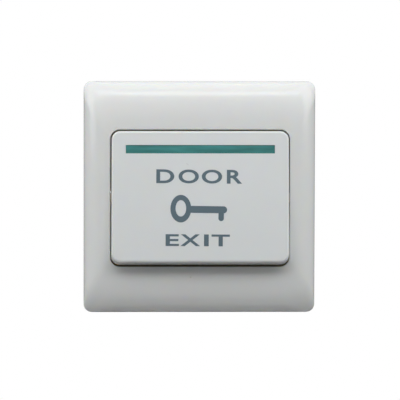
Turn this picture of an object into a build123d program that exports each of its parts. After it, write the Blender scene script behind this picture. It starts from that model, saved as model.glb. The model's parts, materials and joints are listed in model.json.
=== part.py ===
from build123d import *
import math
import os

# Door exit button on a square wall plate, in millimetres.
# Every piece is drawn lying on a bench: X to the right, Y up the wall, Z out of the wall,
# with Z = 0 at the wall. At the end all are stood up, so that the front faces -Y and +Z is up.

# How far a cut runs past the face it opens, and how far joined solids sink into each other
cut_past = 1.0
join_sink = 0.1

# Wall plate and its crowned front
plate_size = 86.0
plate_corner_radius = 3.0
rim_height = 9.5
skirt_height = 1.6
rim_land = 0.75
roll_steps = 8
corner_swell = 5.0
tail_sharpness = 4
surround_wall = 2.0
wall_gap = 0.2

# Window in the surround, with a well behind it that the rocker moves in
window_width = 66.4
window_height = 50.8
window_radius = 3.6
rim_round = 0.5
well_wall = 1.5
well_foot = 2.8

# Rocker: tilted by its spring at rest, level when pressed home
rest_tilt = 7.0
pivot_depth = 3.5
rocker_side_gap = 0.22
rocker_end_gap = 0.55
rocker_side_play = 0.06
rocker_radius = 3.2
shoulder_rise = 0.5
face_rise = 6.9
side_draft = 0.25
end_draft = 0.6
face_shift = 0.075
face_edge_round = 0.8
face_thickness = 2.0
rocker_wall = 1.8
foot_drop = 1.7
rib_thickness = 1.2
rib_depth = 2.4
rib_shares_x = (-1 / 3, -1 / 6, 1 / 6, 1 / 3)
rib_shares_y = (-0.10, 0.14)

# Pivot: two trunnions on the rocker in the surround's ears
trunnion_radius = 1.8
pivot_clearance = 0.05
trunnion_reach = 2.6
lug_radius = 2.8
ear_width = 7.2
ear_thickness = 1.3
lead_in_depth = 0.5
pad_height_up = 2.3
pad_breadth = 3.6
pad_proud = 0.10

# Green inlay in the rocker's face
strip_side_margin = 5.2
strip_top_margin = 5.2
strip_width = 3.0
strip_thickness = 1.0
strip_sink = 0.2
strip_clearance = 0.05
peg_radius = 0.8
peg_share = 0.36
peg_head_radius = 1.3
peg_head_height = 0.5

# Wall base with its rear box
base_thickness = 2.5
base_clearance = 0.3
box_width = 46.0
box_height = 46.0
box_depth = 20.0
box_radius = 1.5
box_wall = 1.6
box_floor = 1.6
screw_spacing = 60.3
screw_slot_width = 4.4
screw_slot_length = 9.0
screw_head_relief = 1.5
back_pocket_depth = 1.2
back_rim = 3.0
back_rib = 1.6

# Snap hooks of the surround and the ledges of the base
hook_places = (-22.0, 22.0)
hook_width = 8.0
hook_reach = 0.9
hook_top = 1.1
hook_lip = 0.35
hook_clearance = 0.15
hook_room = 0.5
pry_width = 7.0
pry_height = 1.1

# Contact mechanism
plunger_place = -14.0
plunger_radius = 3.0
plunger_clearance = 0.05
boss_radius = 2.6
boss_gap = 0.15
shoulder_gap = 0.15
carrier_width = 6.8
carrier_depth = 8.0
carrier_low = -9.0
window_low = -7.5
window_top = -1.5
window_span = 5.0
spring_nub_height = 2.0
spring_post_height = 4.0
contact_peg_height = 1.0

chamber_width = 40.8
chamber_height = 16.0
cover_thickness = 1.5
cover_lap = 1.3
cover_clearance = 0.15
collar_radius = 4.6
collar_height = 1.5
cover_screw_place = 17.4
cover_screw_radius = 1.1
cover_screw_length = 7.0
pilot_room = 1.0
cover_screw_head_radius = 2.1
cover_screw_head_height = 1.4
screw_boss_radius = 2.4
thread_clearance = 0.02

# Contacts and terminals
contact_place = 9.5
contact_gap_left = 0.08
rivet_radius = 1.6
rivet_head = 0.8
rivet_shank_radius = 0.9
rivet_shank_clearance = 0.02
bridge_length = 25.0
bridge_width = 4.4
bridge_thickness = 0.7
bridge_dimple_height = 0.6
strip_metal = 0.8
metal_width = 6.0
terminal_x = 11.5
terminal_y = 11.0
pad_width = 10.0
pad_height = 12.0
strip_end = -17.0
seat_clearance = 0.05
bay_inset = 1.4
extruded_collar_radius = 2.7
extruded_collar_height = 1.2
extruded_collar_room = 0.3
terminal_hole_radius = 1.5
terminal_screw_tip = 0.4
terminal_head_radius = 3.1
terminal_head_height = 2.0
clamp_size = 8.0
clamp_thickness = 1.0
clamp_open = 0.9
clamp_lip_width = 0.8
clamp_lip_height = 0.5
clamp_hole_radius = 1.9
recess_length = 3.6
recess_width = 0.8
recess_depth = 1.0

# Springs
return_spring_radius = 2.5
return_spring_wire = 0.5
return_spring_turns = 6.5
contact_spring_radius = 1.5
contact_spring_wire = 0.35
contact_spring_turns = 5.0
spring_post_clearance = 0.35

# Places worked out from the sizes above
tilt = math.radians(rest_tilt)
rocker_width = window_width - 2 * rocker_side_gap
rocker_height = window_height - 2 * rocker_end_gap
face_width = rocker_width - 2 * side_draft
face_height = rocker_height - 2 * end_draft
strip_length = face_width - 2 * strip_side_margin
strip_place = face_shift + face_height / 2 - strip_top_margin - strip_width / 2
peg_places = (-peg_share * strip_length, peg_share * strip_length)
pivot_height = rim_height - pivot_depth
face_z = pivot_height + face_rise
travel = abs(plunger_place) * math.sin(tilt)
plunger_top = pivot_height + travel / 2
window_side = window_width / 2
well_side = window_side + well_wall
base_size = plate_size - 2 * surround_wall - 2 * base_clearance
base_radius = max(plate_corner_radius - surround_wall - base_clearance, 0.5)
chamber_floor = -box_depth + box_floor
cover_low = base_thickness - cover_thickness
bridge_low = window_low
contact_plane = bridge_low - rivet_head
fixed_top = contact_plane - travel - contact_gap_left
metal_top = fixed_top - rivet_head
metal_low = metal_top - strip_metal
bay_floor = metal_top + seat_clearance
pocket_floor = bay_floor + box_floor
divider_low = plunger_place + chamber_height / 2
divider_top = divider_low + box_wall
bay_top = box_height / 2 - box_wall
bay_side = box_width / 2 - box_wall
clamp_top = metal_low - clamp_open
clamp_low = clamp_top - clamp_thickness
bore_radius = trunnion_radius + pivot_clearance
terminal_screw_radius = terminal_hole_radius - thread_clearance


def block(width, height, z_low, z_high, x=0.0, y=0.0):
    """Plain box between two levels."""
    return Pos(x, y, (z_low + z_high) / 2) * Box(width, height, z_high - z_low)


def post(radius, z_low, z_high, x=0.0, y=0.0):
    """Round post between two levels."""
    return Pos(x, y, (z_low + z_high) / 2) * Cylinder(radius, z_high - z_low)


def slab(width, height, radius, z_low, z_high, y=0.0):
    """Rounded rectangle pulled up from one level to another."""
    return extrude(Pos(0, y, z_low) * RectangleRounded(width, height, radius), z_high - z_low)


def cross_bar(radius, x_low, x_high, y, z):
    """Round bar that lies along X."""
    return Pos((x_low + x_high) / 2, y, z) * Rot(0, 90, 0) * Cylinder(radius, x_high - x_low)


def tilted_to_rest(shape):
    """Turn a piece of the rocker from level to its place at rest, lower end out."""
    return Pos(0, 0, pivot_height) * Rot(-rest_tilt, 0, 0) * Pos(0, 0, -pivot_height) * shape


def crown(side, radius, low, top):
    """Cushion: an upright skirt, then a front that rolls in to a narrow land round the window.

    The roll is a quarter ellipse at the sides. Above and below the window, where there is twice
    the room, it runs out in a long flat tail. The corners are roundest half way up, so that each
    ridge fades out on its way to the window.
    """
    land_width = window_width + 2 * rim_land
    land_height = window_height + 2 * rim_land
    land_radius = window_radius + rim_land
    roll = (side - land_width) / 2
    tail = (land_width - land_height) / 2
    rings = []
    for step in range(roll_steps + 1):
        share = step / roll_steps
        turn = math.pi / 2 * share
        inset = roll * (1 - math.cos(turn))
        long_inset = inset + tail * share**tail_sharpness
        corner = radius + (land_radius - radius) * share + corner_swell * math.sin(math.pi * share)
        level = skirt_height + (top - skirt_height) * math.sin(turn)
        ring = RectangleRounded(side - 2 * inset, side - 2 * long_inset, corner)
        rings.append(Pos(0, 0, level) * ring)
    return slab(side, side, radius, low, skirt_height) + loft(rings)


def on_window_rim(edge):
    """True for an edge of the front that lies on the window's outline."""
    reach_x = window_width / 2 + rim_land / 2
    reach_y = window_height / 2 + rim_land / 2
    at_rim = abs(edge.center().Z - rim_height) < rim_land / 10
    return at_rim and all(abs(end.X) < reach_x and abs(end.Y) < reach_y for end in edge.vertices())


def hook_nose(place, end):
    """Snap nose on the inside of the surround's skirt, sloped below and flat on top."""
    wall = plate_size / 2 - surround_wall
    nose = Polyline(
        (wall + hook_lip, wall_gap + hook_lip),
        (wall - hook_reach, hook_top - hook_lip),
        (wall - hook_reach, hook_top),
        (wall + hook_lip, hook_top),
        close=True,
    )
    bar = extrude(Plane.YZ * make_face(nose), hook_width / 2, both=True)
    if end < 0:
        bar = mirror(bar, Plane.XZ)
    return Pos(place, 0, 0) * bar


def make_surround():
    """Crowned front frame with its well, pivot ears and snap hooks, in one moulding."""
    outer = crown(plate_size, plate_corner_radius, wall_gap, rim_height)
    inner_side = plate_size - 2 * surround_wall
    inner = crown(inner_side, plate_corner_radius - surround_wall, wall_gap, rim_height - surround_wall)
    frame = outer - inner
    ceiling = rim_height - surround_wall / 2
    well_width = window_width + 2 * well_wall
    well_height = window_height + 2 * well_wall
    frame += slab(well_width, well_height, window_radius + well_wall, well_foot, ceiling)
    for side in (-1, 1):
        ear_x = side * (well_side + ear_thickness / 2)
        frame += block(ear_thickness + well_wall, ear_width, well_foot, ceiling, ear_x)
    frame -= slab(window_width, window_height, window_radius, -box_depth, rim_height + cut_past)
    rim = [edge for edge in frame.edges() if on_window_rim(edge)]
    frame = fillet(rim, rim_round)
    for side in (-1, 1):
        outer_end = side * (well_side + 2 * ear_thickness)
        inner_end = side * (window_side - well_wall)
        low, high = sorted((inner_end, outer_end))
        frame -= cross_bar(bore_radius, low, high, 0, pivot_height)
        groove_x = side * (window_side + lead_in_depth / 2)
        frame -= block(lead_in_depth, 2 * bore_radius, 0, pivot_height, groove_x)
    for place in hook_places:
        for end in (-1, 1):
            frame += hook_nose(place, end)
    frame -= block(pry_width, 3 * surround_wall, 0, pry_height, 0, -plate_size / 2)
    return frame


def make_rocker():
    """Push button: drafted walls, slanted foot, ribs, plunger boss, centring pads and trunnions."""
    shoulder = pivot_height + shoulder_rise
    below = pivot_height - rocker_height
    lower = Pos(0, 0, shoulder) * RectangleRounded(rocker_width, rocker_height, rocker_radius)
    upper = Pos(0, face_shift, face_z) * RectangleRounded(face_width, face_height, rocker_radius)
    cap = loft([lower, upper], ruled=True)
    cap = fillet(cap.faces().sort_by(Axis.Z)[-1].edges(), face_edge_round)
    cap += slab(rocker_width, rocker_height, rocker_radius, below, shoulder)
    underside = face_z - face_thickness
    inner_width = face_width - 2 * rocker_wall
    inner_height = face_height - 2 * rocker_wall
    cap -= slab(inner_width, inner_height, rocker_wall, below - cut_past, underside, face_shift)
    rib_width = inner_width + 2 * join_sink
    rib_height = inner_height + 2 * join_sink
    for share in rib_shares_x:
        place = share * rocker_width
        cap += block(rib_thickness, rib_height, underside - rib_depth, underside, place, face_shift)
    for share in rib_shares_y:
        place = share * rocker_height
        cap += block(rib_width, rib_thickness, underside - rib_depth, underside, 0, place)
    foot = block(2 * rocker_width, 2 * rocker_height, -2 * rocker_height, -foot_drop)
    cap -= Pos(0, 0, pivot_height) * Rot(rest_tilt / 2, 0, 0) * foot
    tip_rise = travel / 2 + boss_gap
    tip_y = plunger_place * math.cos(tilt) - tip_rise * math.sin(tilt)
    tip_z = pivot_height + plunger_place * math.sin(tilt) + tip_rise * math.cos(tilt)
    cap += post(boss_radius, tip_z + boss_radius, underside + join_sink, 0, tip_y)
    cap += Pos(0, tip_y, tip_z + boss_radius) * Sphere(boss_radius)
    wall_side = rocker_width / 2
    for side in (-1, 1):
        lug_low, lug_high = sorted((side * (wall_side - rocker_wall), side * wall_side))
        cap += cross_bar(lug_radius, lug_low, lug_high, 0, pivot_height)
        pad_x = side * (wall_side + pad_proud - rocker_wall / 2)
        cap += block(rocker_wall, pad_breadth, pivot_height, pivot_height + pad_height_up, pad_x)
        pin_low, pin_high = sorted((side * (wall_side - join_sink), side * (wall_side + trunnion_reach)))
        cap += cross_bar(trunnion_radius, pin_low, pin_high, 0, pivot_height)
    groove = strip_thickness + strip_sink
    groove_length = strip_length + 2 * strip_clearance
    groove_width = strip_width + 2 * strip_clearance
    cap -= block(groove_length, groove_width, face_z - groove, face_z + cut_past, 0, strip_place)
    for place in peg_places:
        cap -= post(peg_radius + strip_clearance, underside - cut_past, face_z, place, strip_place)
    return Pos(rocker_side_play, 0, 0) * tilted_to_rest(cap)


def make_green_strip():
    """Green inlay with two pegs that are staked over behind the rocker's face."""
    top = face_z - strip_sink
    underside = face_z - face_thickness
    inlay = block(strip_length, strip_width, top - strip_thickness, top, 0, strip_place)
    for place in peg_places:
        inlay += post(peg_radius, underside - peg_head_height, top - strip_thickness, place, strip_place)
        inlay += post(peg_head_radius, underside - peg_head_height, underside, place, strip_place)
    return Pos(rocker_side_play, 0, 0) * tilted_to_rest(inlay)


def slotted_hole(x):
    """Slot for a wall box screw, widened at the front for the screw's flat head."""
    flat = Pos(x, 0, -cut_past) * SlotOverall(screw_slot_length, screw_slot_width)
    through = extrude(flat, base_thickness + 2 * cut_past)
    relief_low = base_thickness - screw_head_relief
    narrow = Pos(x, 0, relief_low) * SlotOverall(screw_slot_length, screw_slot_width)
    spread = 2 * screw_head_relief
    wide = Pos(x, 0, base_thickness) * SlotOverall(screw_slot_length + spread, screw_slot_width + spread)
    return through + loft([narrow, wide], ruled=True)


def back_pockets():
    """Shallow core-outs in the base's back, round the rear box and between ribs."""
    edge = base_size / 2 - back_rim
    box_x = box_width / 2 + back_rib
    box_y = box_height / 2 + back_rib
    side_width = edge - box_x
    side_height = edge - box_y
    cuts = []
    for right in (-1, 1):
        for up in (-1, 1):
            corner_x = right * (edge + box_x) / 2
            corner_y = up * (edge + box_y) / 2
            cuts.append((corner_x, corner_y, side_width, side_height))
            half_width = box_x - 1.5 * back_rib
            cuts.append((right * (half_width / 2 + back_rib / 2), corner_y, half_width, side_height))
            pad = screw_slot_width + 2 * screw_head_relief
            beside = box_y - back_rib - pad
            cuts.append((corner_x, up * (pad + beside / 2), side_width, beside))
    return [block(w, h, -cut_past, back_pocket_depth, x, y) for x, y, w, h in cuts]


def terminal_bay(side):
    """Rear bay of one terminal: open behind, with a notch at the top for the wire."""
    low_x = box_wall + bay_inset
    width = bay_side - low_x
    x = side * (low_x + width / 2)
    height = bay_top - divider_top
    outside = -box_depth - cut_past
    bay = block(width, height, outside, bay_floor, x, divider_top + height / 2)
    notch = block(pad_width, 3 * box_wall, outside, bay_floor, side * terminal_x, box_height / 2)
    passage_x = side * contact_place
    slot_width = metal_width + 4 * seat_clearance
    passage = block(
        slot_width,
        box_wall + 2 * cut_past,
        metal_low - 2 * seat_clearance,
        bay_floor,
        passage_x,
        (divider_low + divider_top) / 2,
    )
    tip_radius = extruded_collar_radius + extruded_collar_room
    tip_low, tip_high = bay_floor - cut_past, pocket_floor + cut_past
    screw_tip = post(tip_radius, tip_low, tip_high, side * terminal_x, terminal_y)
    return bay + notch + passage + screw_tip


def make_base():
    """Wall plate and rear box in one moulding, with chamber, pocket, bays and screw slots."""
    base = slab(base_size, base_size, base_radius, 0, base_thickness)
    base += slab(box_width, box_height, box_radius, -box_depth, base_thickness / 2)
    front = base_thickness + cut_past
    base -= block(chamber_width, chamber_height, chamber_floor, front, 0, plunger_place)
    seat_width = chamber_width + 2 * cover_lap
    seat_height = chamber_height + 2 * cover_lap
    base -= block(seat_width, seat_height, cover_low, front, 0, plunger_place)
    pocket_height = bay_top - divider_top
    pocket_y = divider_top + pocket_height / 2
    pocket = block(2 * bay_side, pocket_height, pocket_floor, front, 0, pocket_y)
    base -= pocket
    for side in (-1, 1):
        base -= terminal_bay(side)
        base -= slotted_hole(side * screw_spacing / 2)
        base += block(metal_width, metal_width, chamber_floor, metal_low, side * contact_place, plunger_place)
        screw_x = side * cover_screw_place
        base += post(screw_boss_radius, chamber_floor, cover_low, screw_x, plunger_place)
        pilot_low = base_thickness - cover_screw_length - pilot_room
        pilot_radius = cover_screw_radius + thread_clearance
        base -= post(pilot_radius, pilot_low, front, screw_x, plunger_place)
    spring_post_radius = return_spring_radius - return_spring_wire / 2 - spring_post_clearance
    spring_post_top = chamber_floor + spring_post_height
    base += post(spring_post_radius, chamber_floor - join_sink, spring_post_top, 0, plunger_place)
    for cut in back_pockets():
        base -= cut
    notch_depth = base_clearance + hook_reach
    for place in hook_places:
        for end in (-1, 1):
            notch_y = end * (base_size / 2)
            ledge = hook_top + hook_clearance
            notch_width = hook_width + 2 * hook_room
            base -= block(notch_width, 2 * notch_depth, -cut_past, ledge, place, notch_y)
    return base


def make_cover():
    """Lid of the contact chamber, with the plunger's guide collar."""
    width = chamber_width + 2 * cover_lap - 2 * cover_clearance
    height = chamber_height + 2 * cover_lap - 2 * cover_clearance
    lid = block(width, height, cover_low, base_thickness, 0, plunger_place)
    lid += post(collar_radius, base_thickness, base_thickness + collar_height, 0, plunger_place)
    lid -= post(plunger_radius + plunger_clearance, cover_low - cut_past, rim_height, 0, plunger_place)
    for side in (-1, 1):
        hole_radius = cover_screw_radius + cover_clearance
        lid -= post(hole_radius, cover_low - cut_past, rim_height, side * cover_screw_place, plunger_place)
    return lid


def make_cover_screws():
    """Two tapping screws that hold the lid."""
    screws = []
    for side in (-1, 1):
        x = side * cover_screw_place
        screw = post(cover_screw_radius, base_thickness - cover_screw_length, base_thickness, x, plunger_place)
        head_top = base_thickness + cover_screw_head_height
        head = post(cover_screw_head_radius, base_thickness, head_top, x, plunger_place)
        head = fillet(head.edges().sort_by(Axis.Z)[-1], cover_screw_head_height / 3)
        screw += head
        half_length = recess_length * cover_screw_head_radius / terminal_head_radius
        for size in ((half_length, recess_width), (recess_width, half_length)):
            recess_low = head_top - recess_depth
            screw -= block(size[0], size[1], recess_low, head_top + cut_past, x, plunger_place)
        screws.append(screw)
    return screws[0] + screws[1]


def make_plunger():
    """Plunger stem with the window that carries the contact bridge."""
    shoulder = cover_low - shoulder_gap
    stem = post(plunger_radius, shoulder - join_sink, plunger_top, 0, plunger_place)
    stem = fillet(stem.edges().sort_by(Axis.Z)[-1], plunger_radius / 6)
    carrier = block(carrier_width, carrier_depth, carrier_low, shoulder, 0, plunger_place)
    through = carrier_width + 2 * cut_past
    carrier -= block(through, window_span, window_low, window_top, 0, plunger_place)
    peg = contact_spring_radius - contact_spring_wire / 2 - spring_post_clearance
    peg_low = window_top - contact_peg_height
    carrier += post(peg, peg_low, window_top + join_sink, 0, plunger_place)
    nub = return_spring_radius - return_spring_wire / 2 - spring_post_clearance
    carrier += post(nub, carrier_low - spring_nub_height, carrier_low + join_sink, 0, plunger_place)
    return stem + carrier


def make_bridge():
    """Brass bridge with a dimple that centres the contact spring."""
    top = bridge_low + bridge_thickness
    bridge = block(bridge_length, bridge_width, bridge_low, top, 0, plunger_place)
    bridge = fillet(bridge.edges().filter_by(Axis.Z), bridge_width / 3)
    dimple = contact_spring_radius - contact_spring_wire / 2 - spring_post_clearance
    bridge += post(dimple, top - join_sink, top + bridge_dimple_height, 0, plunger_place)
    for side in (-1, 1):
        low, high = bridge_low - cut_past, top + cut_past
        bridge -= post(rivet_shank_radius, low, high, side * contact_place, plunger_place)
    return bridge


def contact_rivet(x, face, metal_side, up):
    """Silver contact: a slightly domed head and the shank that is riveted through the metal."""
    head_low, head_high = sorted((face, metal_side))
    head = post(rivet_radius, head_low, head_high, x, plunger_place)
    ends = head.edges().filter_by(GeomType.CIRCLE).sort_by(Axis.Z)
    head = fillet(ends[-1] if up > 0 else ends[0], rivet_head / 4)
    return head


def make_fixed_contact(side):
    """Contact rivet on a terminal strip, facing the bridge."""
    x = side * contact_place
    shank_radius = rivet_shank_radius - rivet_shank_clearance
    head = contact_rivet(x, fixed_top, metal_top, 1)
    return head + post(shank_radius, metal_low, metal_top + join_sink, x, plunger_place)


def make_bridge_contact(side):
    """Contact rivet in the bridge, with its closed head on top."""
    x = side * contact_place
    top = bridge_low + bridge_thickness
    shank_radius = rivet_shank_radius - rivet_shank_clearance
    head = contact_rivet(x, contact_plane, bridge_low, -1)
    shank = post(shank_radius, bridge_low - join_sink, top + join_sink, x, plunger_place)
    closed_head = post(rivet_radius * 0.75, top, top + rivet_head / 3, x, plunger_place)
    return head + shank + closed_head


def make_terminal(side):
    """Brass strip from the contact to the screw pad, with an extruded thread collar."""
    reach = terminal_y - strip_end
    strip_y = strip_end + reach / 2
    strip = block(metal_width, reach, metal_low, metal_top, side * contact_place, strip_y)
    strip += block(pad_width, pad_height, metal_low, metal_top, side * terminal_x, terminal_y)
    collar_top = metal_top + extruded_collar_height
    strip += post(extruded_collar_radius, metal_top - join_sink, collar_top, side * terminal_x, terminal_y)
    low, high = metal_low - cut_past, collar_top + cut_past
    strip -= post(terminal_hole_radius, low, high, side * terminal_x, terminal_y)
    strip -= post(rivet_shank_radius, low, high, side * contact_place, plunger_place)
    return strip


def make_terminal_screw(side):
    """Pan head screw with a cross recess, driven from behind."""
    x = side * terminal_x
    tip = metal_top + extruded_collar_height + terminal_screw_tip
    head_low = clamp_low - terminal_head_height
    head = post(terminal_head_radius, head_low, clamp_low, x, terminal_y)
    head = fillet(head.edges().sort_by(Axis.Z)[0], terminal_head_height / 3)
    screw = head + post(terminal_screw_radius, clamp_low - join_sink, tip, x, terminal_y)
    for size in ((recess_length, recess_width), (recess_width, recess_length)):
        screw -= block(size[0], size[1], head_low - cut_past, head_low + recess_depth, x, terminal_y)
    return screw


def make_clamp(side):
    """Square wire clamp plate with two turned lips that face the strip."""
    x = side * terminal_x
    clamp = block(clamp_size, clamp_size, clamp_low, clamp_top, x, terminal_y)
    lip_offset = (clamp_size - clamp_lip_width) / 2
    for across in (-1, 1):
        lip_x = x + across * lip_offset
        lip_top = clamp_top + clamp_lip_height
        clamp += block(clamp_lip_width, clamp_size, clamp_low, lip_top, lip_x, terminal_y)
    clamp -= post(clamp_hole_radius, clamp_low - cut_past, clamp_top + cut_past, x, terminal_y)
    return clamp


def coil_spring(radius, wire, low, high, turns):
    """Round wire wound into a helix between two seats."""
    height = high - low - wire
    line = Helix(pitch=height / turns, height=height, radius=radius)
    section = Plane(origin=line @ 0, z_dir=line % 0) * Circle(wire / 2)
    wound = sweep(section, path=line, is_frenet=True)
    return Pos(0, plunger_place, low + wire / 2) * wound


def make_return_spring():
    """Spring between the chamber's floor and the plunger."""
    return coil_spring(
        return_spring_radius, return_spring_wire, chamber_floor, carrier_low, return_spring_turns
    )


def make_contact_spring():
    """Spring in the plunger's window that presses the bridge down."""
    low = bridge_low + bridge_thickness
    return coil_spring(contact_spring_radius, contact_spring_wire, low, window_top, contact_spring_turns)


def main():
    """Build every piece, stand it up against the wall and write it out."""
    pieces = {
        "surround": make_surround(),
        "rocker": make_rocker(),
        "green_strip": make_green_strip(),
        "mounting_base": make_base(),
        "mechanism_cover": make_cover(),
        "cover_screws": make_cover_screws(),
        "plunger": make_plunger(),
        "contact_bridge": make_bridge(),
        "return_spring": make_return_spring(),
        "contact_spring": make_contact_spring(),
    }
    for name, side in (("left", -1), ("right", 1)):
        pieces[f"bridge_contact_{name}"] = make_bridge_contact(side)
    for name, side in (("com", -1), ("no", 1)):
        pieces[f"{name}_terminal"] = make_terminal(side)
        pieces[f"{name}_contact"] = make_fixed_contact(side)
        pieces[f"{name}_screw"] = make_terminal_screw(side)
        pieces[f"{name}_clamp"] = make_clamp(side)
    os.makedirs("parts", exist_ok=True)
    for name, shape in pieces.items():
        export_step(Rot(90, 0, 0) * shape, f"parts/{name}.step")
    print(f"{len(pieces)} pieces, plunger travel {travel:.3f} mm, pivot {pivot_height:.2f} mm off the wall")


main()
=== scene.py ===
# %% [markdown]
# A door exit button in Blender, one step at a time.
#
# The object is a square wall plate with a crowned front frame. A large rocker sits in its window,
# tilted so that its lower end stands out, and a push on it closes a pair of contacts in the box
# behind the wall. The solid model of every piece is already in place as a frame, so this script
# gives the pieces their finish and adds what a printer would add.

# %% Load the frame
import bpy
import bmesh
import json
import math
from mathutils import Matrix, Vector


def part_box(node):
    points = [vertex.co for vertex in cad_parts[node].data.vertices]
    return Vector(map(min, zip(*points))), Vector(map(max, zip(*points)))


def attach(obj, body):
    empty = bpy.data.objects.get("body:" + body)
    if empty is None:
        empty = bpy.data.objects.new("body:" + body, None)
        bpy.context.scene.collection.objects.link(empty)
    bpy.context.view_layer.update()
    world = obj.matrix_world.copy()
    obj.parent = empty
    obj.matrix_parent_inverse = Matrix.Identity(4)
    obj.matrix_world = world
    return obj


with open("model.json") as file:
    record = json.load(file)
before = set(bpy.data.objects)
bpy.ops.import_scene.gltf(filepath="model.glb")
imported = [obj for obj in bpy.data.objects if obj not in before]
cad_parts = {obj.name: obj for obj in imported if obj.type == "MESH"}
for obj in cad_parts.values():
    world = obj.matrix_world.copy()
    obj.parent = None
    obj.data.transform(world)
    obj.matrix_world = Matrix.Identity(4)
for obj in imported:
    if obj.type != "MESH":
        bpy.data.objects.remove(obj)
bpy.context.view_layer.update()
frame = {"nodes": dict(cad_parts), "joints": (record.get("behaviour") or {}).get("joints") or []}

nodes = frame["nodes"]
mm = 0.001

# %% [markdown]
# The rocker rests tilted. Words and other flat work could be drawn straight on its sloping face,
# but they are easier to lay out on a level drawing board. A matrix then carries them to the face:
# first up to the face's level, then round the pivot by the rest angle. The pivot and the angle
# come from the hinge in the frame.

# %% The drawing board of the rocker's face
hinge = next(joint for joint in frame["joints"] if joint["type"] == "hinge")
pivot = Vector(hinge["pos_m"])
rest_tilt = math.radians(hinge["range_deg"][1])
face_rise = 6.9 * mm
strip_low, strip_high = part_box("green_strip")
face_middle = (strip_low.x + strip_high.x) / 2

stand_up = Matrix.Rotation(math.pi / 2, 4, "X")
lean_out = Matrix.Rotation(-rest_tilt, 4, "X")
board_to_front = Matrix.Translation((face_middle, pivot.y - face_rise, 0)) @ stand_up
tilt_to_rest = Matrix.Translation(pivot) @ lean_out @ Matrix.Translation(-pivot)
board_to_face = tilt_to_rest @ board_to_front
print("rest tilt", round(math.degrees(rest_tilt), 2), "degrees about", [round(v / mm, 2) for v in pivot])

# %% [markdown]
# Three small helpers save typing. The first turns a finished bmesh into an object that rides on
# a body, the second places a node in a graph with its settings and values, and the third starts
# a node group. A node group is a graph with named sockets that several materials can share.

# %% Helpers for pieces and for graphs


def add_piece(name, bm, material, body, slot):
    """Turn a flat-faced bmesh, drawn in metres in the frame, into a piece that rides on a body."""
    mesh = bpy.data.meshes.new(name)
    bm.to_mesh(mesh)
    bm.free()
    piece = bpy.data.objects.new(name, mesh)
    bpy.context.scene.collection.objects.link(piece)
    for face in mesh.polygons:
        face.use_smooth = False
    mesh.materials.append(material)
    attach(piece, body)
    print("piece", name, "has", len(mesh.polygons), "faces and rides on", body)


def add_node(tree, kind, place, values=None, **settings):
    """Add a node at a place in the graph, with its settings and the values of its inputs."""
    node = tree.nodes.new(kind)
    node.location = place
    for name, value in settings.items():
        setattr(node, name, value)
    for name, value in (values or {}).items():
        node.inputs[name].default_value = value
    return node


def new_group(name, inputs, outputs):
    """An empty node group. Inputs are (name, type, default) and outputs are (name, type)."""
    group = bpy.data.node_groups.new(name, "ShaderNodeTree")
    for title, kind, default in inputs:
        socket = group.interface.new_socket(title, in_out="INPUT", socket_type=kind)
        socket.default_value = default
    for title, kind in outputs:
        group.interface.new_socket(title, in_out="OUTPUT", socket_type=kind)
    start = add_node(group, "NodeGroupInput", (-900, 0))
    end = add_node(group, "NodeGroupOutput", (900, 0))
    return group, start, end


print("helpers:", ", ".join(helper.__name__ for helper in (add_piece, add_node, new_group)))

# %% [markdown]
# Moulded plastic is never quite even. The mould's steel leaves a fine spark or polish texture,
# and the melt leaves a faint cloudiness in colour and gloss. A picture wrapped round each piece
# could show that, but noise in three dimensions needs no unwrapping and has no seams. Every
# plastic here shares the effect, so it is one node group, and each material sets its own values.

# %% Node group: moulded surface
cloud_scale = 42.0
gloss_swing = 3.0
surface_outputs = (
    ("Color", "NodeSocketColor"),
    ("Roughness", "NodeSocketFloat"),
    ("Height", "NodeSocketFloat"),
)


def make_moulded_surface():
    """Cloudy colour, cloudy gloss and a fine pitted height, all from object coordinates."""
    inputs = (
        ("Color", "NodeSocketColor", (0.8, 0.8, 0.8, 1)),
        ("Cloud", "NodeSocketFloat", 0.02),
        ("Roughness", "NodeSocketFloat", 0.3),
        ("Pit Scale", "NodeSocketFloat", 9000.0),
    )
    group, start, end = new_group("moulded_surface", inputs, surface_outputs)
    link = group.links.new
    place = add_node(group, "ShaderNodeTexCoord", (-900, -300))
    cloud = add_node(group, "ShaderNodeTexNoise", (-600, 200), {"Scale": cloud_scale, "Detail": 3.0})
    pits = add_node(group, "ShaderNodeTexNoise", (-600, -200), {"Detail": 2.0, "Roughness": 0.6})
    link(place.outputs["Object"], cloud.inputs["Vector"])
    link(place.outputs["Object"], pits.inputs["Vector"])
    link(start.outputs["Pit Scale"], pits.inputs["Scale"])
    centred = add_node(group, "ShaderNodeMath", (-400, 200), {1: 0.5}, operation="SUBTRACT")
    swing = add_node(group, "ShaderNodeMath", (-200, 200), operation="MULTIPLY")
    level = add_node(group, "ShaderNodeMath", (0, 200), {0: 1.0}, operation="ADD")
    link(cloud.outputs["Fac"], centred.inputs[0])
    link(centred.outputs[0], swing.inputs[0])
    link(start.outputs["Cloud"], swing.inputs[1])
    link(swing.outputs[0], level.inputs[1])
    tinted = add_node(group, "ShaderNodeVectorMath", (200, 200), operation="MULTIPLY")
    link(start.outputs["Color"], tinted.inputs[0])
    link(level.outputs[0], tinted.inputs[1])
    uneven = add_node(group, "ShaderNodeMath", (200, 0), {1: gloss_swing}, operation="MULTIPLY")
    gloss = add_node(group, "ShaderNodeMath", (400, 0), operation="ADD")
    link(swing.outputs[0], uneven.inputs[0])
    link(uneven.outputs[0], gloss.inputs[0])
    link(start.outputs["Roughness"], gloss.inputs[1])
    link(tinted.outputs[0], end.inputs["Color"])
    link(gloss.outputs[0], end.inputs["Roughness"])
    link(pits.outputs["Fac"], end.inputs["Height"])
    return group


moulded_surface = make_moulded_surface()
print("group", moulded_surface.name, "with", len(moulded_surface.nodes), "nodes")

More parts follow.
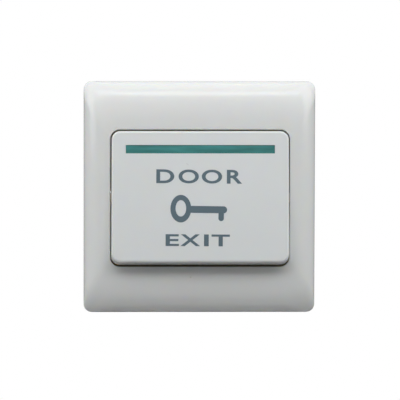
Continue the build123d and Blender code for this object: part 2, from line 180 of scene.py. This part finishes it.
# %% [markdown]
# A moulding has a nib, a speck or a scratch here and there. They could be modelled, but they are
# finer than the mesh, so a mask in the material is lighter and leaves the solid alone. Each is a
# small soft ball at one place: the group takes a place and a radius and puts out a mask, which
# changes the colour and raises the surface a little.

# %% Node group: nib
nib_core = 0.3


def make_dust_nib():
    """Mask that is 1 in the core of a small ball round a place and fades to 0 at its radius."""
    inputs = (("Place", "NodeSocketVector", (0, 0, 0)), ("Radius", "NodeSocketFloat", 0.0002))
    group, start, end = new_group("dust_nib", inputs, (("Mask", "NodeSocketFloat"),))
    link = group.links.new
    place = add_node(group, "ShaderNodeTexCoord", (-900, -300))
    away = add_node(group, "ShaderNodeVectorMath", (-600, 0), operation="DISTANCE")
    share = add_node(group, "ShaderNodeMath", (-300, 0), operation="DIVIDE")
    mask = add_node(group, "ShaderNodeMapRange", (0, 0), {"From Min": 1.0, "From Max": nib_core})
    link(place.outputs["Object"], away.inputs[0])
    link(start.outputs["Place"], away.inputs[1])
    link(away.outputs["Value"], share.inputs[0])
    link(start.outputs["Radius"], share.inputs[1])
    link(share.outputs[0], mask.inputs["Value"])
    link(mask.outputs["Result"], end.inputs["Mask"])
    return group


dust_nib = make_dust_nib()
print("group", dust_nib.name, "with", len(dust_nib.nodes), "nodes")

# %% [markdown]
# White plastic lets a little light through, so a narrow gap between two mouldings looks warm and
# not quite black. Light scattered below the surface gives some of this, and the rest would take
# many bounces of light. Instead, that light is painted: the surfaces inside the gap get a lighter,
# warmer colour. The group finds them as all that lies within the window's outline and deeper than
# the rim.

# %% Node group: painted gap light
gap_fade = 0.4 * mm


def make_painted_gap_light():
    """Colour that turns into painted gap light inside an upright box, beyond a given depth."""
    inputs = (
        ("Color", "NodeSocketColor", (0.8, 0.8, 0.8, 1)),
        ("Painted Light", "NodeSocketColor", (0.9, 0.8, 0.7, 1)),
        ("Half Width", "NodeSocketFloat", 1.0),
        ("Half Height", "NodeSocketFloat", 1.0),
        ("Depth", "NodeSocketFloat", 0.0),
    )
    group, start, end = new_group("painted_gap_light", inputs, (("Color", "NodeSocketColor"),))
    link = group.links.new
    place = add_node(group, "ShaderNodeTexCoord", (-900, -300))
    split = add_node(group, "ShaderNodeSeparateXYZ", (-700, -300))
    link(place.outputs["Object"], split.inputs[0])
    inside = []
    for row, (axis, limit) in enumerate((("X", "Half Width"), ("Z", "Half Height"))):
        reach = add_node(group, "ShaderNodeMath", (-500, -200 * row), operation="ABSOLUTE")
        room = add_node(group, "ShaderNodeMath", (-300, -200 * row), operation="SUBTRACT")
        link(split.outputs[axis], reach.inputs[0])
        link(start.outputs[limit], room.inputs[0])
        link(reach.outputs[0], room.inputs[1])
        inside.append(room)
    deeper = add_node(group, "ShaderNodeMath", (-300, -500), operation="SUBTRACT")
    link(split.outputs["Y"], deeper.inputs[0])
    link(start.outputs["Depth"], deeper.inputs[1])
    nearest = add_node(group, "ShaderNodeMath", (-100, -100), operation="MINIMUM")
    within = add_node(group, "ShaderNodeMath", (100, -200), operation="MINIMUM")
    link(inside[0].outputs[0], nearest.inputs[0])
    link(inside[1].outputs[0], nearest.inputs[1])
    link(nearest.outputs[0], within.inputs[0])
    link(deeper.outputs[0], within.inputs[1])
    mask = add_node(group, "ShaderNodeMapRange", (300, -200), {"From Min": 0.0, "From Max": gap_fade})
    mixed = add_node(group, "ShaderNodeMix", (600, 0), data_type="RGBA")
    link(within.outputs[0], mask.inputs["Value"])
    link(mask.outputs["Result"], mixed.inputs["Factor"])
    link(start.outputs["Color"], mixed.inputs["A"])
    link(start.outputs["Painted Light"], mixed.inputs["B"])
    link(mixed.outputs["Result"], end.inputs["Color"])
    return group


painted_gap_light = make_painted_gap_light()
print("group", painted_gap_light.name, "with", len(painted_gap_light.nodes), "nodes")

# %% [markdown]
# The plastics differ only in colour, gloss and texture. Each could have a graph of its own, but
# one function keeps them alike. The Principled shader stays in the material, and the groups feed
# its colour, roughness and bump. A moulding with a gap also scatters light below its surface,
# where red travels furthest and blue least.

# %% Plastic material
scatter_weight = 0.35
scatter_scale = 1.0 * mm
scatter_radius = (1.0, 0.7, 0.4)
# Painted gap light: a lighter, warmer colour for the surfaces inside a gap, in place of bounced light.
gap_light_paint = (0.97, 0.84, 0.60)


def make_plastic(
    name, color, roughness, cloud=0.03, pit_scale=9000.0, pit_depth=0.01, nibs=(), gap=None
):
    """Moulded plastic from the shared groups, with pits as deep as given in millimetres.

    Nibs are (place, radius, color, height). A gap is (half width, half height, depth) of the box
    in which the painted gap light shows.
    """
    material = bpy.data.materials.new(name)
    material.use_nodes = True
    tree = material.node_tree
    link = tree.links.new
    shader = tree.nodes["Principled BSDF"]
    shader.inputs["IOR"].default_value = 1.5
    surface = add_node(tree, "ShaderNodeGroup", (-700, 0), node_tree=moulded_surface)
    surface.inputs["Color"].default_value = (*color, 1)
    surface.inputs["Cloud"].default_value = cloud
    surface.inputs["Roughness"].default_value = roughness
    surface.inputs["Pit Scale"].default_value = pit_scale
    bump = add_node(tree, "ShaderNodeBump", (-300, -300), {"Strength": 1.0, "Distance": pit_depth * mm})
    link(surface.outputs["Height"], bump.inputs["Height"])
    link(surface.outputs["Roughness"], shader.inputs["Roughness"])
    shown = surface.outputs["Color"]
    if gap:
        shader.inputs["Subsurface Weight"].default_value = scatter_weight
        shader.inputs["Subsurface Scale"].default_value = scatter_scale
        shader.inputs["Subsurface Radius"].default_value = scatter_radius
        # Painted light inside the gap: its surfaces turn lighter and warmer.
        gap_lit = add_node(tree, "ShaderNodeGroup", (-500, 300), node_tree=painted_gap_light)
        gap_lit.inputs["Painted Light"].default_value = (*gap_light_paint, 1)
        for title, value in zip(("Half Width", "Half Height", "Depth"), gap):
            gap_lit.inputs[title].default_value = value
        link(shown, gap_lit.inputs["Color"])
        shown = gap_lit.outputs["Color"]
    for spot, radius, tint, height in nibs:
        nib = add_node(tree, "ShaderNodeGroup", (-700, 500), node_tree=dust_nib)
        nib.inputs["Place"].default_value = spot
        nib.inputs["Radius"].default_value = radius
        marked = add_node(tree, "ShaderNodeMix", (-300, 400), data_type="RGBA")
        marked.inputs["B"].default_value = (*tint, 1)
        raised = add_node(tree, "ShaderNodeBump", (-100, -300), {"Strength": 1.0, "Distance": height})
        link(nib.outputs["Mask"], marked.inputs["Factor"])
        link(shown, marked.inputs["A"])
        link(nib.outputs["Mask"], raised.inputs["Height"])
        link(bump.outputs["Normal"], raised.inputs["Normal"])
        shown = marked.outputs["Result"]
        bump = raised
    link(bump.outputs["Normal"], shader.inputs["Normal"])
    link(shown, shader.inputs["Base Color"])
    print("plastic", name, "with", len(nibs), "marks and", len(tree.nodes), "nodes")
    return material


# %% [markdown]
# Frame and rocker are the two white mouldings that show. The frame comes from a polished mould
# and the rocker from a duller one, so they differ in roughness. Both are nearly new: the frame
# has a low nib below the rocker, and the rocker has a dark speck on its lower wall and a very
# short faint scratch, made of two marks, above the upper word. The frame's painted gap light is
# kept within the window. On the rocker all that lies deep enough is in the gap and gets it.

# %% The two white mouldings


def surface_mark(place, radius, color, height):
    """A nib, speck or scratch point for make_plastic, from lengths in millimetres."""
    return tuple(value * mm for value in place), radius * mm, color, height * mm


anywhere = 1.0  # half of a width or height in metres, far past the plate
# The boxes in which the painted gap light shows.
window_box = (33.9 * mm, 26.1 * mm, -8.9 * mm)
rocker_in_well = (anywhere, anywhere, -9.1 * mm)
frame_nib = surface_mark((-3.4, -9.4, -29.3), 0.42, (0.68, 0.67, 0.64), 0.16)
wall_speck = surface_mark((-23.9, -14.1, -23.5), 0.40, (0.40, 0.33, 0.35), 0.03)
face_scratch = [
    surface_mark(place, 0.32, (0.65, 0.66, 0.67), 0.01)
    for place in ((-4.93, -11.35, 13.06), (-4.56, -11.39, 12.69))
]
gloss_white = make_plastic(
    "gloss_white_abs",
    color=(0.785, 0.80, 0.795),
    roughness=0.10,
    pit_depth=0.002,
    nibs=[frame_nib],
    gap=window_box,
)
satin_white = make_plastic(
    "satin_white_abs",
    color=(0.745, 0.772, 0.775),
    roughness=0.22,
    pit_depth=0.006,
    nibs=[wall_speck, *face_scratch],
    gap=rocker_in_well,
)

# %% [markdown]
# The green strip is an inlay of its own, set a little below the rocker's face. Its surface shows
# faint light and dark streaks, a little aslant: the light ones are painted glints of fine
# scratches. They could be fine grooves in the bump, but they are seen as changes of colour, so
# noise that is drawn out along X brightens and darkens the base colour.

# %% The green strip
streak_slant = 0.35
streak_squeeze = 0.12
streak_scale = 620.0
streak_strength = 0.60


def add_painted_glints(material):
    """Fine streaks along X painted into a material's colour, a little aslant; the light ones are glints.
    """
    tree = material.node_tree
    link = tree.links.new
    shader = tree.nodes["Principled BSDF"]
    place = add_node(tree, "ShaderNodeTexCoord", (-1100, 700))
    drawn_out = {"Rotation": (0, streak_slant, 0), "Scale": (streak_squeeze, 1, 1)}
    drawn = add_node(tree, "ShaderNodeMapping", (-900, 700), drawn_out)
    lines = add_node(tree, "ShaderNodeTexNoise", (-700, 700), {"Scale": streak_scale, "Detail": 3.0})
    # The bright end of this span paints the glints into the colour.
    span = {"To Min": 1 - streak_strength, "To Max": 1 + streak_strength}
    level = add_node(tree, "ShaderNodeMapRange", (-500, 700), span)
    lit = add_node(tree, "ShaderNodeVectorMath", (-100, 600), operation="MULTIPLY")
    link(place.outputs["Object"], drawn.inputs["Vector"])
    link(drawn.outputs["Vector"], lines.inputs["Vector"])
    link(lines.outputs["Fac"], level.inputs["Value"])
    link(shader.inputs["Base Color"].links[0].from_socket, lit.inputs[0])
    link(level.outputs["Result"], lit.inputs[1])
    link(lit.outputs[0], shader.inputs["Base Color"])


green_inlay = make_plastic(
    "green_inlay", color=(0.047, 0.220, 0.210), roughness=0.34, cloud=0.10, pit_depth=0.006
)
add_painted_glints(green_inlay)
print("streaks added, now", len(green_inlay.node_tree.nodes), "nodes")

# %% [markdown]
# Behind the front are a cream base, a grey cover and a white plunger. Nobody polishes a mould for
# parts that are out of sight, so all three have less gloss, and base and cover coarser pits. The
# words on the rocker are printed in slate grey ink. Ink could have a shader of its own, but it is
# near enough to a thin plastic to use the same function.

# %% Hidden plastics and ink
base_white = make_plastic(
    "base_white", color=(0.80, 0.75, 0.64), roughness=0.55, pit_scale=5000.0, pit_depth=0.02
)
mechanism_grey = make_plastic(
    "mechanism_grey", color=(0.42, 0.43, 0.43), roughness=0.5, pit_scale=5000.0, pit_depth=0.02
)
plunger_white = make_plastic("plunger_white", color=(0.74, 0.73, 0.69), roughness=0.38)
legend_ink = make_plastic(
    "legend_ink", color=(0.112, 0.163, 0.194), roughness=0.5, cloud=0.12, pit_depth=0.004
)

# %% [markdown]
# Metal in a switch is bare: rolled brass strip, plated screws, drawn wire, and silver contacts.
# Rolling and drawing leave fine lines, and air leaves a faint tarnish. The shader could be given
# a stretched highlight instead, but lines in the bump also show from close by. One group makes
# the lines and the tarnish. The lines run along X, because the noise is drawn out that way.

# %% Node group: worked metal
line_squeeze = 0.06
line_gloss = 0.22
tarnish_from, tarnish_to = 0.42, 0.68


def make_worked_metal():
    """Tarnished colour, lined roughness and lined height."""
    inputs = (
        ("Bright", "NodeSocketColor", (0.8, 0.6, 0.3, 1)),
        ("Tarnish", "NodeSocketColor", (0.5, 0.35, 0.15, 1)),
        ("Line Scale", "NodeSocketFloat", 900.0),
        ("Roughness", "NodeSocketFloat", 0.3),
    )
    group, start, end = new_group("worked_metal", inputs, surface_outputs)
    link = group.links.new
    place = add_node(group, "ShaderNodeTexCoord", (-1100, -200))
    drawn = add_node(group, "ShaderNodeMapping", (-900, -200), {"Scale": (line_squeeze, 1.0, 1.0)})
    lines = add_node(group, "ShaderNodeTexNoise", (-600, -200), {"Detail": 4.0})
    stain = add_node(group, "ShaderNodeTexNoise", (-600, 200), {"Scale": 260.0, "Detail": 5.0})
    link(place.outputs["Object"], drawn.inputs["Vector"])
    link(drawn.outputs["Vector"], lines.inputs["Vector"])
    link(place.outputs["Object"], stain.inputs["Vector"])
    link(start.outputs["Line Scale"], lines.inputs["Scale"])
    span = {"From Min": tarnish_from, "From Max": tarnish_to}
    patch = add_node(group, "ShaderNodeMapRange", (-300, 200), span)
    link(stain.outputs["Fac"], patch.inputs["Value"])
    toned = add_node(group, "ShaderNodeMix", (0, 200), data_type="RGBA")
    link(patch.outputs["Result"], toned.inputs["Factor"])
    link(start.outputs["Bright"], toned.inputs["A"])
    link(start.outputs["Tarnish"], toned.inputs["B"])
    uneven = add_node(group, "ShaderNodeMath", (-200, 0), {1: line_gloss}, operation="MULTIPLY")
    gloss = add_node(group, "ShaderNodeMath", (0, 0), operation="ADD")
    link(lines.outputs["Fac"], uneven.inputs[0])
    link(uneven.outputs[0], gloss.inputs[0])
    link(start.outputs["Roughness"], gloss.inputs[1])
    link(toned.outputs["Result"], end.inputs["Color"])
    link(gloss.outputs[0], end.inputs["Roughness"])
    link(lines.outputs["Fac"], end.inputs["Height"])
    return group


worked_metal = make_worked_metal()
print("group", worked_metal.name, "with", len(worked_metal.nodes), "nodes")

# %% [markdown]
# The four metals differ in their bright and tarnished colours, in gloss, and in how deep their
# lines are. As with the plastics, one function makes them all from the shared group.

# %% Metal materials


def make_metal(name, bright, tarnish, roughness, line_scale=900.0, line_depth=0.01):
    """Bare or plated metal from the shared group, with lines as deep as given in millimetres."""
    material = bpy.data.materials.new(name)
    material.use_nodes = True
    tree = material.node_tree
    link = tree.links.new
    shader = tree.nodes["Principled BSDF"]
    shader.inputs["Metallic"].default_value = 1.0
    surface = add_node(tree, "ShaderNodeGroup", (-600, 0), node_tree=worked_metal)
    surface.inputs["Bright"].default_value = (*bright, 1)
    surface.inputs["Tarnish"].default_value = (*tarnish, 1)
    surface.inputs["Line Scale"].default_value = line_scale
    surface.inputs["Roughness"].default_value = roughness
    bump = add_node(tree, "ShaderNodeBump", (-300, -300), {"Strength": 1.0, "Distance": line_depth * mm})
    link(surface.outputs["Color"], shader.inputs["Base Color"])
    link(surface.outputs["Roughness"], shader.inputs["Roughness"])
    link(surface.outputs["Height"], bump.inputs["Height"])
    link(bump.outputs["Normal"], shader.inputs["Normal"])
    print("metal", name, "with", len(tree.nodes), "nodes")
    return material


brass = make_metal("rolled_brass", (0.80, 0.58, 0.26), (0.62, 0.41, 0.17), 0.22)
silver = make_metal("silver_contact", (0.88, 0.87, 0.84), (0.74, 0.71, 0.64), 0.18, line_depth=0.004)
zinc_steel = make_metal("zinc_plated_steel", (0.72, 0.73, 0.74), (0.58, 0.60, 0.63), 0.24)
spring_steel = make_metal("spring_wire", (0.55, 0.55, 0.56), (0.38, 0.38, 0.40), 0.28, line_depth=0.006)

# %% [markdown]
# The solids already have the form of the real pieces, so nothing is modelled over them and they
# only need their finish. Each node's material slots are refilled, and the solid stays as it is.

# %% Dress the solids
finishes = {
    "surround": gloss_white,
    "rocker": satin_white,
    "green_strip": green_inlay,
    "mounting_base": base_white,
    "mechanism_cover": mechanism_grey,
    "plunger": plunger_white,
    "cover_screws": zinc_steel,
    "contact_bridge": brass,
    "return_spring": spring_steel,
    "contact_spring": spring_steel,
    "bridge_contact_left": silver,
    "bridge_contact_right": silver,
}
for pole in ("com", "no"):
    finishes[f"{pole}_terminal"] = brass
    finishes[f"{pole}_contact"] = silver
    finishes[f"{pole}_screw"] = zinc_steel
    finishes[f"{pole}_clamp"] = zinc_steel

for name, material in finishes.items():
    mesh = nodes[name].data
    mesh.materials.clear()
    mesh.materials.append(material)
print("dressed", len(finishes), "of", len(nodes), "nodes")

# %% [markdown]
# The words on the rocker are pad printed. A picture on the face would do from afar, but real
# shapes have sharp edges at any size. The letters are a plain sans serif drawn out sideways,
# which is why the uprights are nearly twice as thick as the bars. A letter is made as text,
# turned into a mesh, and then stretched to its own width and height on the drawing board, which
# is in millimetres.

# %% Letters on the drawing board
ink_weight = 0.022
word_rows = {
    "door": {
        "low": 4.98,
        "high": 10.07,
        "letters": (("D", -16.30, -9.67), ("O", -8.08, -0.58), ("O", 0.52, 8.02), ("R", 9.77, 15.45)),
    },
    "exit": {
        "low": -18.21,
        "high": -13.86,
        "letters": (("E", -12.90, -7.96), ("X", -7.44, -0.11), ("I", 1.29, 3.04), ("T", 4.06, 10.84)),
    },
}


def letter_outline(letter, low, high, left, right):
    """A letter as flat faces on the drawing board, stretched to its own box."""
    line = bpy.data.curves.new("letter", "FONT")
    line.body = letter
    line.offset = ink_weight
    line.resolution_u = 10
    holder = bpy.data.objects.new("letter", line)
    mesh = bpy.data.meshes.new_from_object(holder)
    bpy.data.objects.remove(holder)
    bm = bmesh.new()
    bm.from_mesh(mesh)
    bpy.data.meshes.remove(mesh)
    xs = [vert.co.x for vert in bm.verts]
    ys = [vert.co.y for vert in bm.verts]
    stretch = ((right - left) / (max(xs) - min(xs)), (high - low) / (max(ys) - min(ys)), 1)
    bmesh.ops.translate(bm, verts=bm.verts, vec=(-min(xs), -min(ys), 0))
    bmesh.ops.scale(bm, verts=bm.verts, vec=stretch)
    bmesh.ops.translate(bm, verts=bm.verts, vec=(left, low, 0))
    return bm


letters = []
for word, row in word_rows.items():
    low, high = row["low"], row["high"]
    for place, (letter, left, right) in enumerate(row["letters"], start=1):
        outline = letter_outline(letter, low, high, left, right)
        letters.append((f"ink_{word}_{place}_{letter}", outline, (low + high) / 2))
print("letters drawn:", len(letters), "in", len(word_rows), "rows")

# %% [markdown]
# Ink lies on the face as a very thin layer. Flat letters would flicker where they touch the face,
# so each gets a real thickness as a closed solid. The pad was set down a little crooked, so a row
# is turned slightly about its own middle before the matrix carries it to the face.

# %% Ink on the face
ink_thickness = 0.03
ink_turn = math.radians(-0.4)
merge_distance = 0.001


def raise_flat(bm, thickness):
    """Give a flat shape its thickness, as a closed solid."""
    bmesh.ops.remove_doubles(bm, verts=bm.verts, dist=merge_distance)
    top = bmesh.ops.extrude_face_region(bm, geom=bm.faces[:])
    raised = [item for item in top["geom"] if isinstance(item, bmesh.types.BMVert)]
    bmesh.ops.translate(bm, verts=raised, vec=(0, 0, thickness))
    bmesh.ops.recalc_face_normals(bm, faces=bm.faces)


def print_on_face(bm, row_middle):
    """Turn a row of ink about its middle and lay it on the rocker's face, in metres."""
    about = Matrix.Translation((0, row_middle, 0))
    crooked = about @ Matrix.Rotation(ink_turn, 4, "Z") @ about.inverted()
    bmesh.ops.transform(bm, matrix=board_to_face @ Matrix.Scale(mm, 4) @ crooked, verts=bm.verts)


for name, outline, row_middle in letters:
    raise_flat(outline, ink_thickness)
    print_on_face(outline, row_middle)
    add_piece(name, outline, legend_ink, "button", "legend_ink")

# %% [markdown]
# Between the words is a plain key: an oval bow with a hole, a shaft with a round end, and one
# bit. It could be drawn as one long outline, but three simple shapes are easier to measure and
# to change. Each is flat on the drawing board at first and is then raised to the ink's thickness.

# %% The key's flat shapes
bow_middle = (-7.26, -4.40)
bow_size = (7.68, 10.18)
hole_middle = (-7.24, -4.27)
hole_size = (3.92, 6.04)
shaft_left, shaft_right, shaft_low, shaft_high = -4.4, 9.84, -5.87, -3.30
shaft_turn = math.radians(-0.5)
bit_left, bit_right, bit_low = 6.65, 8.66, -8.89
bit_overlap = 1.2
round_end = 2.05  # width over radius, a little above 2 so that the bevels of an end don't meet


def oval(middle, size):
    """A flat oval on the drawing board with one face."""
    bm = bmesh.new()
    bmesh.ops.create_circle(bm, cap_ends=True, segments=64, radius=0.5)
    bmesh.ops.scale(bm, verts=bm.verts, vec=(*size, 1))
    bmesh.ops.translate(bm, verts=bm.verts, vec=(*middle, 0))
    return bm


def rounded_bar(left, right, low, high, radius):
    """A flat rounded rectangle on the drawing board with one face."""
    bm = bmesh.new()
    bmesh.ops.create_grid(bm, x_segments=1, y_segments=1, size=0.5)
    bmesh.ops.scale(bm, verts=bm.verts, vec=(right - left, high - low, 1))
    bmesh.ops.translate(bm, verts=bm.verts, vec=((left + right) / 2, (low + high) / 2, 0))
    bmesh.ops.bevel(
        bm, geom=bm.verts[:], offset=radius, segments=10, affect="VERTICES", profile=0.5, material=-1
    )
    return bm


bow = oval(bow_middle, bow_size)
hole = oval(hole_middle, hole_size)
shaft_radius = (shaft_high - shaft_low) / round_end
shaft = rounded_bar(shaft_left, shaft_right, shaft_low, shaft_high, shaft_radius)
lowered = Matrix.Rotation(shaft_turn, 3, "Z")
bmesh.ops.rotate(shaft, cent=(*bow_middle, 0), matrix=lowered, verts=shaft.verts)
bit_radius = (bit_right - bit_left) / round_end
bit = rounded_bar(bit_left, bit_right, bit_low, shaft_low + bit_overlap, bit_radius)
for part in (bow, shaft, bit):
    raise_flat(part, ink_thickness)
print("faces of bow, shaft and bit:", [len(part.faces) for part in (bow, shaft, bit)])

# %% [markdown]
# The printed key is one layer of ink with nothing doubled inside. Joining the shapes by hand
# would mean working out where their edges cross, so exact booleans do it: the shaft and the bit
# are united with the bow, and a tall punch cuts the hole. A boolean works on objects, so each
# bmesh becomes a passing object that is removed afterwards.

# %% The printed key
punch_height = 3.0


def draft_object(name, bm):
    """A passing object on the drawing board, for a boolean."""
    mesh = bpy.data.meshes.new(name)
    bm.to_mesh(mesh)
    bm.free()
    draft = bpy.data.objects.new(name, mesh)
    bpy.context.scene.collection.objects.link(draft)
    return draft


def combine(base, others):
    """Join or cut drafts with exact booleans. Others are (draft, operation). Returns a bmesh."""
    for draft, operation in others:
        step = base.modifiers.new(operation, "BOOLEAN")
        step.object = draft
        step.operation = operation
        step.solver = "EXACT"
    graph = bpy.context.evaluated_depsgraph_get()
    mesh = bpy.data.meshes.new_from_object(base.evaluated_get(graph))
    bm = bmesh.new()
    bm.from_mesh(mesh)
    bpy.data.meshes.remove(mesh)
    for draft in [base] + [draft for draft, operation in others]:
        bpy.data.objects.remove(draft)
    return bm


raise_flat(hole, punch_height)
bmesh.ops.translate(hole, verts=hole.verts, vec=(0, 0, -punch_height / 2))
key_parts = (
    (draft_object("shaft", shaft), "UNION"),
    (draft_object("bit", bit), "UNION"),
    (draft_object("hole", hole), "DIFFERENCE"),
)
key = combine(draft_object("bow", bow), key_parts)
print_on_face(key, bow_middle[1])
add_piece("ink_key", key, legend_ink, "button", "legend_ink")

# %% [markdown]
# The stage is a pale floor. The plate hangs on a wall, so the floor lies well below it, where it
# gives back a little light and can't touch the object. A bent backdrop would do the same, but a
# plain square is enough here.

# %% Floor
floor_level = -0.30
floor_half = 0.2
bm = bmesh.new()
bmesh.ops.create_grid(bm, x_segments=1, y_segments=1, size=floor_half)
bmesh.ops.translate(bm, verts=bm.verts, vec=(0, 0, floor_level))
mesh = bpy.data.meshes.new("floor")
bm.to_mesh(mesh)
bm.free()
floor = bpy.data.objects.new("floor", mesh)
bpy.context.scene.collection.objects.link(floor)
floor_paint = make_plastic("floor_paint", color=(0.78, 0.78, 0.78), roughness=0.7)
mesh.materials.append(floor_paint)
print("floor", 2 * floor_half, "m wide at a height of", floor_level, "m")

# %% [markdown]
# The camera stands far back, a little left of the middle and a little above it, so that the
# plate keeps its square outline. The focal length could be found by trial. Here it follows from
# the plate's width in metres and in pixels of the square picture, and the camera's distance.

# %% Camera
picture_size = 400
plate_width = 86.0 * mm
plate_pixels = 230.9
camera_distance = 1.5
camera_azimuth = -1.9
camera_elevation = 4.4
camera_roll = math.radians(0.15)
aim = Vector((0.32 * mm, 0, -1.30 * mm))


def direction(azimuth, elevation):
    """Unit vector from the plate, from degrees round to the right of its front and degrees up."""
    turn = math.radians(azimuth)
    rise = math.radians(elevation)
    return Vector((math.sin(turn) * math.cos(rise), -math.cos(turn) * math.cos(rise), math.sin(rise)))


camera = bpy.data.objects.new("camera", bpy.data.cameras.new("camera"))
bpy.context.scene.collection.objects.link(camera)
bpy.context.scene.camera = camera
seen_width = plate_width * picture_size / plate_pixels
camera.data.sensor_width = 36.0
camera.data.lens = camera.data.sensor_width * camera_distance / seen_width
camera.data.clip_end = 10.0
away = direction(camera_azimuth, camera_elevation)
look = away.to_track_quat("Z", "Y")
roll = Matrix.Rotation(camera_roll, 4, "Z").to_quaternion()
camera.location = aim + away * camera_distance
camera.rotation_euler = (look @ roll).to_euler()
print("lens", round(camera.data.lens, 1), "mm at", camera_distance, "m")

# %% [markdown]
# The key light is a wide softbox above and in front. One box would do for a plain picture, but
# strips of a few degrees, each with its own strength, draw the soft end of the shadow under the
# rocker and the gloss on the top roll. The boxes at both sides keep the side rolls as bright as
# the front, and a small one behind shows the back when the plate is turned round. Some boxes
# aren't mirrored in the gloss: the two lowest strips, or the gloss would reach too far down, and
# those at the edges and behind, which are only there to fill in.

# %% Softboxes


def add_softbox(name, azimuth, elevation, distance, width, height, power, mirrored=True):
    """A rectangular light that looks at the plate from a direction in degrees."""
    light = bpy.data.lights.new(name, "AREA")
    light.shape = "RECTANGLE"
    light.size = width
    light.size_y = height
    light.energy = power
    box = bpy.data.objects.new(name, light)
    bpy.context.scene.collection.objects.link(box)
    toward = direction(azimuth, elevation)
    box.location = toward * distance
    box.rotation_euler = toward.to_track_quat("Z", "Y").to_euler()
    box.visible_glossy = mirrored


# Name, azimuth and elevation in degrees, distance, width and height in metres, power in watts,
# and False for a box that isn't mirrored in the gloss.
softboxes = (
    ("key_low", -2, 34, 0.45, 0.60, 0.063, 0.29, False),
    ("key", -2, 40, 0.45, 0.60, 0.063, 0.41, False),
    ("key_high", -2, 45, 0.45, 0.60, 0.071, 0.22),
    ("top", -2, 53, 0.45, 0.60, 0.095, 0.38),
    ("left_edge", -97, 5, 0.45, 0.20, 0.30, 0.22, False),
    ("left_low", -72, 15, 0.45, 0.25, 0.25, 0.41),
    ("left_high", -72, 45, 0.45, 0.25, 0.25, 0.14),
    ("right_edge", 95, 5, 0.45, 0.20, 0.30, 0.22, False),
    ("right_low", 68, 15, 0.45, 0.25, 0.25, 0.31),
    ("right_high", 68, 45, 0.45, 0.25, 0.25, 0.24),
    ("behind", 180, 0, 0.60, 0.08, 0.08, 0.35, False),
)
for name, *setting in softboxes:
    add_softbox(f"softbox_{name}", *setting)
print("softboxes:", ", ".join(name for name, *setting in softboxes))

# %% [markdown]
# The softboxes stand inside a light tent, which gives even light from above and a little from
# behind. A picture of a studio could light the scene, but two simple gradients over the
# direction of a ray do it with a few nodes: one by height, and one that grows to the back.

# %% Light tent
tent_level = 0.34
back_level = 0.30
tent_levels = ((0.0, 0.0), (0.49, 0.0), (0.51, tent_level), (1.0, tent_level))

world = bpy.data.worlds.new("light_tent")
bpy.context.scene.world = world
world.use_nodes = True
tree = world.node_tree
tree.nodes.clear()
link = tree.links.new
way = add_node(tree, "ShaderNodeTexCoord", (-800, 0))
split = add_node(tree, "ShaderNodeSeparateXYZ", (-600, 0))
ramp = add_node(tree, "ShaderNodeValToRGB", (-300, 0))
share = add_node(tree, "ShaderNodeMapRange", (-450, 0), {"From Min": -1.0, "From Max": 1.0})
to_back = {"From Min": 0.0, "From Max": 0.3, "To Max": back_level}
behind = add_node(tree, "ShaderNodeMapRange", (-450, -300), to_back)
above = add_node(tree, "ShaderNodeMapRange", (-450, -550), {"From Min": -0.1, "From Max": 0.1})
back = add_node(tree, "ShaderNodeMath", (-250, -400), operation="MULTIPLY")
total = add_node(tree, "ShaderNodeMath", (-50, -200), operation="ADD")
tent = add_node(tree, "ShaderNodeBackground", (0, 0), {"Strength": 1.0})
middle = 0.5
while len(ramp.color_ramp.elements) < len(tent_levels):
    ramp.color_ramp.elements.new(middle)
for stop, (height, level) in zip(ramp.color_ramp.elements, tent_levels):
    stop.position = height
    stop.color = (level, level, level, 1)
link(way.outputs["Generated"], split.inputs[0])
link(split.outputs["Z"], share.inputs["Value"])
link(share.outputs["Result"], ramp.inputs["Fac"])
link(split.outputs["Y"], behind.inputs["Value"])
link(split.outputs["Z"], above.inputs["Value"])
link(behind.outputs["Result"], back.inputs[0])
link(above.outputs["Result"], back.inputs[1])
link(ramp.outputs["Color"], total.inputs[0])
link(back.outputs[0], total.inputs[1])
link(total.outputs[0], tent.inputs["Color"])
print("tent gives", tent_level, "above and up to", back_level, "more behind")

# %% [markdown]
# What the camera sees behind the object is plain white. A white wall could stand there, but it
# would light the plate too. A light path switch keeps the two apart: rays from the camera find
# the white backdrop, and all other rays find the tent. The Standard view leaves white white.

# %% Backdrop and view
path = add_node(tree, "ShaderNodeLightPath", (0, 300))
backdrop = add_node(tree, "ShaderNodeBackground", (0, -200), {"Color": (1, 1, 1, 1), "Strength": 1.0})
switch = add_node(tree, "ShaderNodeMixShader", (400, 0))
out = add_node(tree, "ShaderNodeOutputWorld", (600, 0))
link(path.outputs["Is Camera Ray"], switch.inputs["Fac"])
link(tent.outputs[0], switch.inputs[1])
link(backdrop.outputs[0], switch.inputs[2])
link(switch.outputs[0], out.inputs["Surface"])
bpy.context.scene.view_settings.view_transform = "Standard"
bpy.context.scene.view_settings.look = "None"
print("world", world.name, "with", len(tree.nodes), "nodes")
